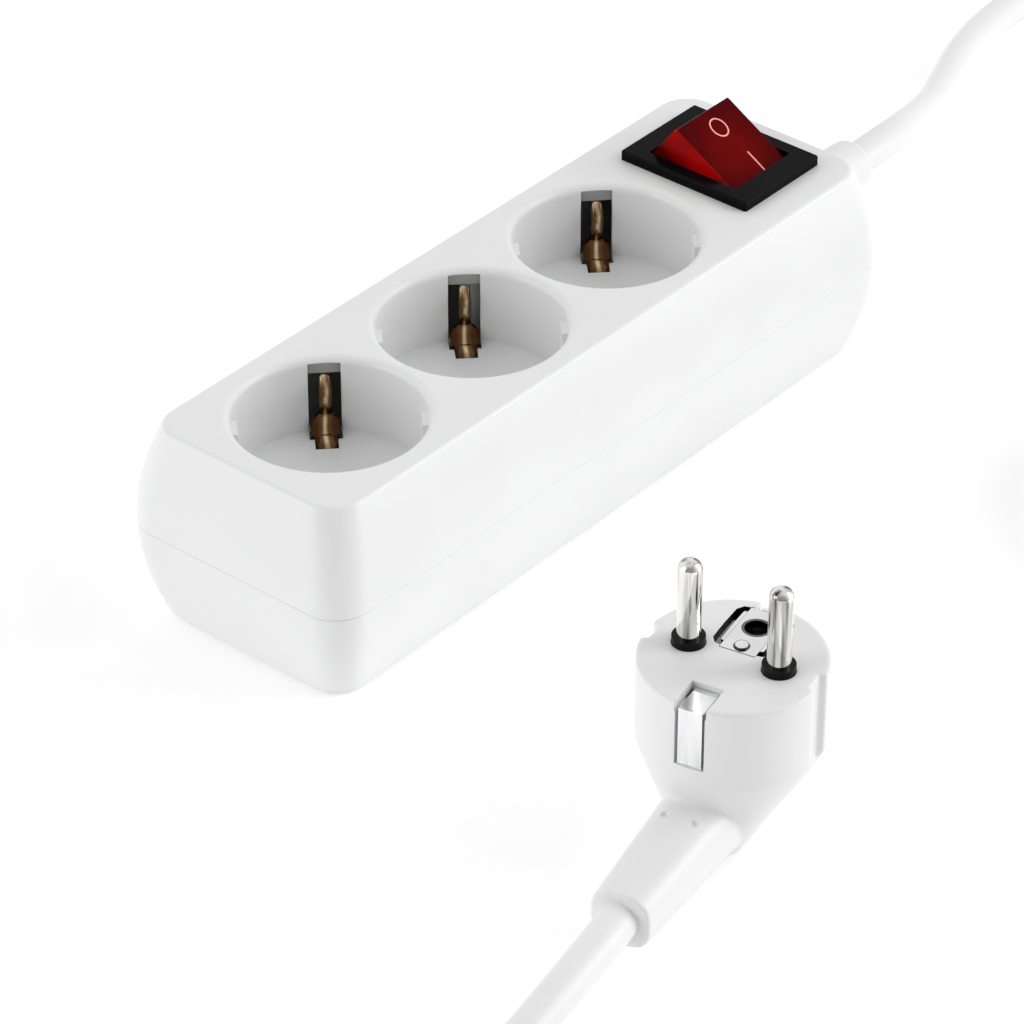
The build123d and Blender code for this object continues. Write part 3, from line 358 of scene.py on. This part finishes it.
def striped_insulation(name, first, second):
    """Wire insulation with a second colour in lengthwise stripes."""
    material, tree, shader = new_material(name)
    values = {"Scale": 120.0, "Distortion": 1.5}
    wave = add_node(tree, "ShaderNodeTexWave", {"Vector": object_place(tree)}, values)
    set_colour(tree, shader, ramp(tree, wave.outputs["Fac"], (0.48, first), (0.52, second)))
    vary_roughness(tree, shader, noise(tree, 300), 0.38, 0.5)
    add_bumps(tree, shader, (noise(tree, 900), 0.2, 0.00002))
    return material


def lamp_glass(name):
    """Thin clear glass with faint streaks."""
    material, tree, shader = new_material(name)
    set_colour(tree, shader, ramp(tree, noise(tree, 300), (0.3, (1.0, 0.72, 0.55)), (0.7, (1.0, 0.85, 0.72))))
    vary_roughness(tree, shader, noise(tree, 500), 0.03, 0.12)
    shader.inputs["Transmission Weight"].default_value = 0.9
    shader.inputs["IOR"].default_value = 1.47
    return material


def lit_red_plastic(name):
    """Clear red moulding lit from inside: deep red on its face, glowing on the side the lamp is nearest."""
    material, tree, shader = new_material(name)
    rocker_frame = {
        "Location": (SWITCH_X * MM, 0, PIVOT_Z * MM), "Rotation": (ROCKER_TILT, 0, 0), "Scale": (MM, MM, MM)
    }
    local = add_node(
        tree, "ShaderNodeMapping", {"Vector": object_place(tree)}, rocker_frame, vector_type="TEXTURE"
    ).outputs["Vector"]
    axes = add_node(tree, "ShaderNodeSeparateXYZ", {"Vector": local}).outputs
    cloud = ramp(tree, noise(tree, 220), (0.3, (0.035, 0.0002, 0.0006)), (0.7, (0.06, 0.0005, 0.001)))
    set_colour(tree, shader, cloud)
    # Painted light: the glow of the lamp inside, strongest on the lamp's side and fading along the rocker;
    # towards the lower edge it fades out to painted shade, in the bezel's shadow.
    side = span(tree, axes["X"], LIT_SIDE_X, (1.0, 0.0))
    rise = span(tree, axes["Z"], LIT_RISE, (0.0, 1.0))
    along = span(tree, axes["Y"], LIT_LENGTH, (0.25, 1.0))
    patch = span(tree, noise(tree, 130, detail=1.0), (0.35, 0.65), (0.55, 1.0))
    glow = multiply(tree, multiply(tree, multiply(tree, side, rise), along), patch)
    face = span(tree, distance(tree, local, (0, -0.5, ROCKER_RISE)), FACE_GLOW_RADII, FACE_GLOW)
    strength = add(tree, multiply(tree, glow, SIDE_GLOW), face)
    tree.links.new(strength, shader.inputs["Emission Strength"])
    shader.inputs["Emission Color"].default_value = (1.0, 0.006, 0.004, 1)
    vary_roughness(tree, shader, noise(tree, 400), 0.12, 0.2)
    shader.inputs["Specular IOR Level"].default_value = 0.03
    add_bumps(tree, shader, (noise(tree, 500), 0.12, 0.00003), rounding=0.0003)
    return material


def spring_with_painted_highlight(name):
    """Bronze strip with painted light: painted shade at its edges, brown across its face and a painted gold
    highlight along its middle.
    """
    material, tree, shader = metal_base(name, 0.22)
    # Painted highlight: gold along the strip's middle, falling off to painted shade at its edges
    wander = span(tree, noise(tree, 180, detail=1.0), MIDDLE_OF_NOISE, (-0.0005, 0.0003))
    offset = math_node(tree, "ABSOLUTE", add(tree, dot(tree, object_place(tree), EARTH_SIDE), wander), 0.0)
    highlight = span(tree, offset, (0.0, CLIP_HIGHLIGHT_REACH), (1.0, 0.0))
    colour = ramp(
        tree, highlight, (0.05, (0.04, 0.02, 0.01)), (0.45, (0.075, 0.03, 0.012)), (0.8, (0.14, 0.08, 0.04)),
        (0.95, (0.66, 0.49, 0.3)),
    )
    set_colour(tree, shader, colour)
    return material


def riveted_plate(name):
    """Nickel plate with dark rings of painted shade round the rim of its rivet and round the edge of its
    hole.
    """
    material, tree, shader = metal_base(name, 0.14)
    colour = ramp(tree, noise(tree, 90), (0.3, (0.78, 0.78, 0.79)), (0.7, (0.88, 0.88, 0.89)))
    for ahead, radius, width in PAINTED_SHADE_RINGS:
        away = distance(tree, object_place(tree), plug_point(0, ahead, 0) * MM)
        off_ring = math_node(tree, "ABSOLUTE", add(tree, away, -radius * MM), 0.0)
        ring = span(tree, off_ring, (0.4 * width * MM, width * MM), (0.9, 0.0))
        colour = mix(tree, ring, colour, (0.03, 0.03, 0.032))
    set_colour(tree, shader, colour)
    return material


white_case = plastic("white_case", WHITE, 0.36, mottling=0.012, wear=1.04)
white_clamp = plastic("white_clamp", WHITE, 0.45, mottling=0.02)
white_vinyl = soft_vinyl("white_vinyl", (0.8, 0.805, 0.8), 0.36)
white_boot = soft_vinyl("white_boot", (0.79, 0.795, 0.79), 0.4)
white_plug = plastic("white_plug", (0.78, 0.786, 0.78), 0.38, mottling=0.015, wear=1.03, grain=1200)
black_plastic = plastic("black_plastic", BLACK, 0.3, specular=0.035, mottling=0.3, wear=3.0, grain=1500)
black_collar = plastic("black_collar", BLACK, 0.35, specular=0.1, mottling=0.3, wear=2.5)
zinc = metal("zinc", (0.45, 0.46, 0.5), (0.62, 0.64, 0.68), 0.32)
brass = metal("brass", (0.6, 0.42, 0.17), (0.80, 0.60, 0.27), 0.3, (1, 8, 8))
bronze = metal("bronze", (0.12, 0.055, 0.02), (0.42, 0.22, 0.08), 0.25, (3, 3, 0.3))
spring_bronze = spring_with_painted_highlight("spring_bronze")
# The pins' dark and bright streaks are painted reflections of a dark room, not marks on the metal.
nickel_pin = metal(
    "nickel_pin", (0.04, 0.04, 0.042), (0.84, 0.83, 0.82), 0.1, (3, 3, 0.12), streaks=150, scratches=0.12,
    grain=1400,
)
nickel_strip = metal("nickel_strip", (0.74, 0.74, 0.75), (0.87, 0.87, 0.88), 0.16, (4, 4, 0.5), streaks=60)
nickel_plate = riveted_plate("nickel_plate")
red_lit = lit_red_plastic("red_lit")
glass = lamp_glass("lamp_glass")
brown_wire = soft_vinyl("brown_wire", (0.20, 0.09, 0.045), 0.42, mottling=0.12)
blue_wire = soft_vinyl("blue_wire", (0.03, 0.13, 0.5), 0.42, mottling=0.1)
earth_wire = striped_insulation("earth_wire", (0.62, 0.6, 0.03), (0.05, 0.32, 0.06))

NODE_MATERIALS = {
    "top_cover": white_case, "base_cover": white_case, "cord_clamp": white_clamp, "cord_boot": white_boot,
    "case_screws": zinc, "clamp_screws": zinc, "earth_bus": brass, "live_bus": brass, "neutral_bus": brass,
    "live_contacts": brass, "neutral_contacts": brass, "switch_terminals": brass, "contact_levers": bronze,
    "switch_housing": black_plastic, "switch_plungers": black_plastic, "switch_rocker": red_lit,
    "indicator_lamp": glass, "cord_sheath_end": white_vinyl, "plug_sheath_end": white_vinyl,
    "wire_live_in": brown_wire, "wire_live_out": brown_wire, "plug_wires": brown_wire,
    "wire_neutral_in": blue_wire, "wire_neutral_out": blue_wire, "wire_earth": earth_wire,
    "plug_core": white_plug, "plug_pin_live": nickel_pin, "plug_pin_neutral": nickel_pin,
    "plug_pin_collars": black_collar, "plug_earth_bracket": nickel_strip, "plug_earth_sleeve": nickel_plate,
}
for name, material in NODE_MATERIALS.items():
    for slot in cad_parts[name].material_slots:
        slot.material = material
lead.data.materials.append(white_vinyl)

# ---------------------------------------------------------------- mesh helpers


def mesh_object(name, mesh, material):
    """Object made from the bmesh, its faces turned outwards."""
    bmesh.ops.recalc_face_normals(mesh, faces=mesh.faces)
    data = bpy.data.meshes.new(name)
    mesh.to_mesh(data)
    mesh.free()
    data.materials.append(material)
    piece = bpy.data.objects.new(name, data)
    scene.collection.objects.link(piece)
    return piece


def solid_from_rings(name, rings, material, loop=False, smooth=True):
    """Closed mesh skinned over equally long rings of points in mm, capped unless the rings form a loop."""
    mesh = bmesh.new()
    rows = [[mesh.verts.new(point * MM) for point in ring] for ring in rings]
    pairs = list(zip(rows, rows[1:]))
    if loop:
        pairs.append((rows[-1], rows[0]))
    for row, following in pairs:
        for index in range(len(row)):
            after = (index + 1) % len(row)
            mesh.faces.new((row[index], row[after], following[after], following[index]))
    if not loop:
        mesh.faces.new(rows[0])
        mesh.faces.new(rows[-1])
    piece = mesh_object(name, mesh, material)
    if smooth:
        piece.data.shade_smooth()
    return piece


def bake_modifiers(piece):
    """Replace the piece's mesh by what its modifiers make of it."""
    depsgraph = bpy.context.evaluated_depsgraph_get()
    result = bpy.data.meshes.new_from_object(piece.evaluated_get(depsgraph))
    piece.modifiers.clear()
    piece.data = result


def carve(piece, cutters):
    """Subtract each cutter from the piece; the cut faces take the cutter's material."""
    for cutter in cutters:
        modifier = piece.modifiers.new("cut", "BOOLEAN")
        modifier.object = cutter
        modifier.operation = "DIFFERENCE"
        modifier.solver = "EXACT"
        modifier.material_mode = "TRANSFER"
    bake_modifiers(piece)
    for cutter in cutters:
        bpy.data.objects.remove(cutter)


# ---------------------------------------------------------------- earth springs

SOCKET_XS = (-59.7, -15.7, 28.3)
WELL_FLOOR_Z = 28.0
EARTH_OUT = Vector((math.cos(EARTH_LINE), math.sin(EARTH_LINE), 0))
CLIP_THICKNESS = 0.8
CLIP_EDGE_ROUNDING = 0.4
CLIP_SECTION_STEPS = 10
CLIP_SMOOTHING = 3
# One arm from its tip down: radius, height above the well's floor, half width, crown towards the well
CLIP_ARM = (
    (20.3, 13.4, 0.5, 0.1), (20.15, 13.2, 1.1, 0.3), (19.6, 12.5, 1.3, 0.45), (18.6, 11.0, 1.3, 0.5),
    (18.1, 9.2, 1.3, 0.5), (18.5, 7.2, 1.3, 0.45), (19.5, 5.3, 1.3, 0.4), (20.0, 4.3, 1.35, 0.3),
    (20.0, 3.8, 1.7, 0.3), (19.8, 3.3, 2.5, 0.35), (19.3, 2.8, 2.95, 0.4), (18.6, 2.2, 3.1, 0.4),
    (17.6, 1.3, 3.1, 0.35), (17.0, 0.8, 3.1, 0.3), (16.8, 0.6, 3.05, 0.3), (16.6, 0.5, 2.3, 0.5),
    (16.0, 0.2, 2.2, 0.6), (15.0, -0.4, 2.2, 0.6), (14.2, -1.3, 2.2, 0.4), (13.4, -2.3, 2.2, 0.1),
    (12.4, -2.4, 2.2, 0.0),
)


def smoothed(points):
    """The path with its corners cut again and again, its ends kept."""
    for _ in range(CLIP_SMOOTHING):
        cut = [points[0]]
        for first, second in zip(points, points[1:]):
            cut.append(tuple(0.75 * a + 0.25 * b for a, b in zip(first, second)))
            cut.append(tuple(0.25 * a + 0.75 * b for a, b in zip(first, second)))
        points = [*cut, points[-1]]
    return points


def clip_ring(path, index):
    """Section of a clip at one point of its path, crowned on the side that faces a plug."""
    radius, rise, half_width, crown = path[index]
    before, after = path[max(index - 1, 0)], path[min(index + 1, len(path) - 1)]
    heading = Vector((after[0] - before[0], after[1] - before[1])).normalized()
    facing = EARTH_OUT * heading.y - Vector((0, 0, heading.x))
    centre = EARTH_OUT * radius + Vector((0, 0, rise))
    ring = []
    for face in (1, -1):
        for step in range(CLIP_SECTION_STEPS + 1):
            share = face * (1 - 2 * step / CLIP_SECTION_STEPS)
            thickness = CLIP_THICKNESS * (1 - CLIP_EDGE_ROUNDING * share**8)
            bulge = crown * (1 - share**2) + face * thickness / 2
            ring.append(centre + EARTH_SIDE * (share * half_width) + facing * bulge)
    return ring


def make_clips():
    far_arm = [(-radius, *rest) for radius, *rest in reversed(CLIP_ARM)]
    path = smoothed([*CLIP_ARM, *far_arm])
    rings = [clip_ring(path, index) for index in range(len(path))]
    for number, x in enumerate(SOCKET_XS, start=1):
        clip = solid_from_rings(f"earth_spring_{number}", rings, spring_bronze)
        clip.data.set_sharp_from_angle(angle=math.radians(50))
        clip.location = Vector((x, 0, WELL_FLOOR_Z)) * MM
        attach(clip, "root")
        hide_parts(f"earth_clip_{number}")


make_clips()

# ---------------------------------------------------------------- switch markings

MARK_SINK = 0.1
MARK_PROUD = 0.05
MARK_HALF_WIDTH = 0.17
MARK_STEPS = 56
RING_CENTRE = (1.05, 4.9)
RING_RADII = (2.0, 2.35)
BAR_X = 2.3
BAR_ENDS = (-8.5, -3.2)


def rocker_point(across, along, rise):
    """Point of the rocker's own frame, its origin on the axle, in the row's frame."""
    cosine, sine = math.cos(ROCKER_TILT), math.sin(ROCKER_TILT)
    return Vector((SWITCH_X + across, along * cosine - rise * sine, PIVOT_Z + along * sine + rise * cosine))


def oval_point(turn, grow):
    """Point across and along of the ring mark's middle line, pushed outwards by the growth."""
    return (
        RING_CENTRE[0] + (RING_RADII[0] + grow) * math.cos(turn),
        RING_CENTRE[1] + (RING_RADII[1] + grow) * math.sin(turn),
    )


def bar_point(turn):
    """Point across and along of the bar mark's outline, its ends round."""
    end = BAR_ENDS[1] if math.sin(turn) >= 0 else BAR_ENDS[0]
    return BAR_X + MARK_HALF_WIDTH * math.cos(turn), end + MARK_HALF_WIDTH * math.sin(turn)


def make_marks():
    pink = plastic("mark_pink", (0.85, 0.33, 0.34), 0.4, mottling=0.06, wear=1.1)
    shader = pink.node_tree.nodes["Principled BSDF"]
    # The marks glow with painted light, standing in for the lamp inside the rocker shining through them.
    shader.inputs["Emission Color"].default_value = (1.0, 0.35, 0.36, 1)
    shader.inputs["Emission Strength"].default_value = 0.25
    low, high = ROCKER_RISE - MARK_SINK, ROCKER_RISE + MARK_PROUD
    turns = [2 * math.pi * index / MARK_STEPS for index in range(MARK_STEPS)]
    rings = []
    for turn in turns:
        outer, inner = oval_point(turn, MARK_HALF_WIDTH), oval_point(turn, -MARK_HALF_WIDTH)
        corners = ((inner, low), (inner, high), (outer, high), (outer, low))
        rings.append([rocker_point(*point, rise) for point, rise in corners])
    ring = solid_from_rings("off_ring_mark", rings, pink, loop=True, smooth=False)
    levels = [[rocker_point(*bar_point(turn), rise) for turn in turns] for rise in (low, high)]
    bar = solid_from_rings("on_bar_mark", levels, pink, smooth=False)
    for mark in (ring, bar):
        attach(mark, "rocker")


make_marks()

# ---------------------------------------------------------------- plug body

PLUG_RADIUS = 18.5
PLUG_SHOULDER = 18.0
PLUG_DEPTH = 39.0
BACK_HALF_WIDTH = 6.5
BACK_HALF_LENGTH = 10.0
BACK_SHIFT = -2.0
BACK_SQUARENESS = 4
OUTLINE_STEPS = 120
RING_DEPTHS = (0, 6, 12, 18, 21.5, 25, 28.5, 32, 35.5, 39)
BOOT_START = 2.0
BOOT_ROOT = (8.6, 7.9)
BOOT_TIP = (6.2, 6.0)
BOOT_SQUARENESS = 2.8
BOOT_STEPS = 16
ROUND_STEPS = 48
VOXEL = 0.45
SOFTEN_FACTOR = 0.5
SOFTEN_PASSES = 5
ABOVE_FACE = 1.0
KEY_GROOVE = (16.9, 21.0)
KEY_GROOVE_HALF_LENGTH = 2.4
KEY_GROOVE_DEPTH = 19.5
GRIP = (13.2, -3.0, -31.0)
GRIP_RADII = (5.2, 9.0, 2.6)
GRIP_TILT = 60
PLATE_HALF_WIDTH = 3.8
PLATE_ENDS = (1.3, 15.7)
PLATE_DEPTH = 1.0
EARTH_HOLE_RADIUS = 3.4
EARTH_HOLE_DEPTH = 13.3
BRACKET_HALF_WIDTH = 3.1
BRACKET_DEPTH = 14.2
FRONT_BRACKET_ENDS = (15.4, 20.0)
REAR_BRACKET_ENDS = (-20.0, -16.2)
LUG_HALF_WIDTH = 3.3
LUG_ENDS = (-20.0, -10.6)
LUG_DEPTH = 2.0
PIN_ACROSS = 9.5
COLLAR_RADIUS = 3.4
COLLAR_DEPTH = 2.2
DENT = (3.1, -21.5, -23.9)
DENT_RADII = (0.95, 0.95, 1.0)
PLATE_HOOK = ((3.7, 2.7), (4.7, 2.9), (5.3, 3.7), (5.4, 8.7), (5.3, 13.6), (4.7, 14.5), (3.7, 14.7))
HOOK_HALF_WIDTH = 0.8
HOOK_DEPTH = 2.4


def superellipse(turn, half_x, half_y, power):
    """Point of a rounded rectangle's outline, squarer as the power grows."""
    cosine, sine = math.cos(turn), math.sin(turn)
    return (
        math.copysign(half_x * abs(cosine) ** (2 / power), cosine),
        math.copysign(half_y * abs(sine) ** (2 / power), sine),
    )


def head_rings():
    rings = []
    for depth in RING_DEPTHS:
        share = max(0, (depth - PLUG_SHOULDER) / (PLUG_DEPTH - PLUG_SHOULDER))
        ring = []
        for index in range(OUTLINE_STEPS):
            turn = 2 * math.pi * index / OUTLINE_STEPS
            back_x, back_y = superellipse(turn, BACK_HALF_WIDTH, BACK_HALF_LENGTH, BACK_SQUARENESS)
            across = (1 - share) * PLUG_RADIUS * math.cos(turn) + share * back_x
            ahead = (1 - share) * PLUG_RADIUS * math.sin(turn) + share * (back_y + BACK_SHIFT)
            ring.append(plug_point(across, ahead, -depth))
        rings.append(ring)
    return rings


def boot_rings():
    rings = []
    for step in range(BOOT_STEPS + 1):
        share = step / BOOT_STEPS
        half_width, half_height = (root + (tip - root) * share for root, tip in zip(BOOT_ROOT, BOOT_TIP))
        ahead = BOOT_START - share * (PLUG_BOOT_END + BOOT_START)
        ring = []
        for index in range(OUTLINE_STEPS):
            turn = 2 * math.pi * index / OUTLINE_STEPS
            across, rise = superellipse(turn, half_width, half_height, BOOT_SQUARENESS)
            ring.append(plug_point(across, ahead, rise - PLUG_BOOT_DEPTH))
        rings.append(ring)
    return rings


def upright_cutter(outline, depth, material):
    """Cutter with an outline of points across and ahead, from the depth up to just above the plug's face."""
    rings = [[plug_point(*point, height) for point in outline] for height in (-depth, ABOVE_FACE)]
    return solid_from_rings("cutter", rings, material, smooth=False)


def box_cutter(across, ahead, depth, material):
    """Upright box between low and high values across and ahead."""
    outline = [(across[i], ahead[j]) for i, j in ((0, 0), (1, 0), (1, 1), (0, 1))]
    return upright_cutter(outline, depth, material)


def round_cutter(centre, radius, depth, material):
    turns = [2 * math.pi * index / ROUND_STEPS for index in range(ROUND_STEPS)]
    outline = [(centre[0] + radius * math.cos(turn), centre[1] + radius * math.sin(turn)) for turn in turns]
    return upright_cutter(outline, depth, material)


def egg_cutter(centre, radii, tilt, material):
    """Ellipsoid with its second axis along the lead, tipped about it by the tilt in degrees."""
    mesh = bmesh.new()
    bmesh.ops.create_uvsphere(mesh, u_segments=48, v_segments=24, radius=1)
    angle = math.radians(tilt)
    for vertex in mesh.verts:
        wide, ahead, tall = (value * radius for value, radius in zip(vertex.co, radii))
        across = wide * math.cos(angle) - tall * math.sin(angle)
        rise = wide * math.sin(angle) + tall * math.cos(angle)
        vertex.co = plug_point(centre[0] + across, centre[1] + ahead, centre[2] + rise) * MM
    return mesh_object("cutter", mesh, material)


def channel_cutter(points, half_width, depth, material):
    """Upright slot along a path in the plug's face."""
    left, right = [], []
    path = [Vector(point) for point in points]
    for index, point in enumerate(path):
        heading = (path[min(index + 1, len(path) - 1)] - path[max(index - 1, 0)]).normalized()
        side = Vector((-heading.y, heading.x)) * half_width
        left.append(point + side)
        right.append(point - side)
    return upright_cutter(left + right[::-1], depth, material)


def both_sides(half):
    return -half, half


def soft_cutters():
    """Key grooves and finger grips, whose edges are rounded off with the moulding."""
    cutters = []
    for groove in (KEY_GROOVE, (-KEY_GROOVE[1], -KEY_GROOVE[0])):
        cutters.append(box_cutter(groove, both_sides(KEY_GROOVE_HALF_LENGTH), KEY_GROOVE_DEPTH, white_plug))
    for side in (1, -1):
        grip = (side * GRIP[0], *GRIP[1:])
        cutters.append(egg_cutter(grip, GRIP_RADII, side * GRIP_TILT, white_plug))
    return cutters


def hard_cutters():
    """Seats of the metal parts and the boot's dents, whose edges stay crisp."""
    cutters = [
        box_cutter(both_sides(PLATE_HALF_WIDTH), PLATE_ENDS, PLATE_DEPTH, black_collar),
        round_cutter((0, EARTH_HOLE_AHEAD), EARTH_HOLE_RADIUS, EARTH_HOLE_DEPTH, black_collar),
        box_cutter(both_sides(BRACKET_HALF_WIDTH), FRONT_BRACKET_ENDS, BRACKET_DEPTH, white_plug),
        box_cutter(both_sides(LUG_HALF_WIDTH), LUG_ENDS, LUG_DEPTH, white_plug),
        box_cutter(both_sides(BRACKET_HALF_WIDTH), REAR_BRACKET_ENDS, BRACKET_DEPTH, white_plug),
    ]
    for side in (1, -1):
        cutters.append(round_cutter((side * PIN_ACROSS, 0), COLLAR_RADIUS, COLLAR_DEPTH, black_collar))
        cutters.append(egg_cutter((side * DENT[0], *DENT[1:]), DENT_RADII, 0, white_plug))
        hook = [(side * across, ahead) for across, ahead in PLATE_HOOK]
        cutters.append(channel_cutter(hook, HOOK_HALF_WIDTH, HOOK_DEPTH, black_collar))
    return cutters


def make_plug():
    body = solid_from_rings("plug_shell", head_rings(), white_plug)
    boot = solid_from_rings("cutter", boot_rings(), white_plug)
    join = body.modifiers.new("join", "BOOLEAN")
    join.object = boot
    join.operation = "UNION"
    join.solver = "EXACT"
    bake_modifiers(body)
    bpy.data.objects.remove(boot)
    carve(body, soft_cutters())
    remesh = body.modifiers.new("remesh", "REMESH")
    remesh.mode = "VOXEL"
    remesh.voxel_size = VOXEL * MM
    soften = body.modifiers.new("soften", "SMOOTH")
    soften.factor = SOFTEN_FACTOR
    soften.iterations = SOFTEN_PASSES
    bake_modifiers(body)
    carve(body, hard_cutters())
    body.data.shade_smooth()
    body.data.set_sharp_from_angle(angle=math.radians(40))
    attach(body, "root")
    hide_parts("plug_body")
    return body


plug_shell = make_plug()

# ---------------------------------------------------------------- floor and light

FLOOR_HALF = 3.0
FLOOR_DROP = 0.0002
DARKER_SIDE = Vector((-0.72, -0.66, 0.2)).normalized()
PANEL_AIM = Vector((0, 0, 0.02))
# Light panels: name, place and side in metres, power in watts
PANELS = (
    ("right_panel", (1.05, -1.25, 0.45), 0.9, 9.0),
    ("left_panel", (-1.4, 0.7, 0.6), 0.9, 7.0),
    ("well_panel", (0.75, -0.95, 0.95), 0.5, 3.0),
)


def make_floor():
    mesh = bpy.data.meshes.new("floor")
    corners = [(x * FLOOR_HALF, y * FLOOR_HALF, 0) for x, y in ((-1, -1), (1, -1), (1, 1), (-1, 1))]
    mesh.from_pydata(corners, [], [(0, 1, 2, 3)])
    floor = bpy.data.objects.new("floor", mesh)
    floor.location.z = -FLOOR_DROP
    scene.collection.objects.link(floor)
    material, tree, shader = new_material("floor_white")
    paper = ramp(tree, noise(tree, 40), (0.3, (0.9, 0.9, 0.9)), (0.7, (0.93, 0.93, 0.93)))
    set_colour(tree, shader, paper)
    shader.inputs["Roughness"].default_value = 0.9
    shader.inputs["Specular IOR Level"].default_value = 0.1
    shader.inputs["Emission Color"].default_value = (1, 1, 1, 1)
    shader.inputs["Emission Strength"].default_value = 0.22
    mesh.materials.append(material)


def make_world():
    """White all round, greyer overhead, with a darker stretch of room on the side that faces the viewer."""
    world = bpy.data.worlds.new("studio")
    world.use_nodes = True
    tree = world.node_tree
    direction = add_node(tree, "ShaderNodeTexCoord").outputs["Generated"]
    background = tree.nodes["Background"]
    background.inputs["Color"].default_value = (1, 1, 1, 1)
    upward = add_node(tree, "ShaderNodeSeparateXYZ", {"Vector": direction}).outputs["Z"]
    overhead = span(tree, upward, (0.5, 0.95), (1.0, 0.85))
    sideways = span(tree, dot(tree, direction, DARKER_SIDE), (0.45, 0.9), (0.9, 0.32))
    strength = multiply(tree, sideways, overhead)
    tree.links.new(strength, background.inputs["Strength"])
    scene.world = world


def make_lights():
    for name, place, side, power in PANELS:
        light = bpy.data.lights.new(name, "AREA")
        light.size = side
        light.energy = power
        lamp = bpy.data.objects.new(name, light)
        lamp.location = place
        lamp.rotation_euler = (PANEL_AIM - Vector(place)).to_track_quat("-Z", "Y").to_euler()
        scene.collection.objects.link(lamp)
    scene.view_settings.view_transform = "Standard"


make_floor()
make_world()
make_lights()
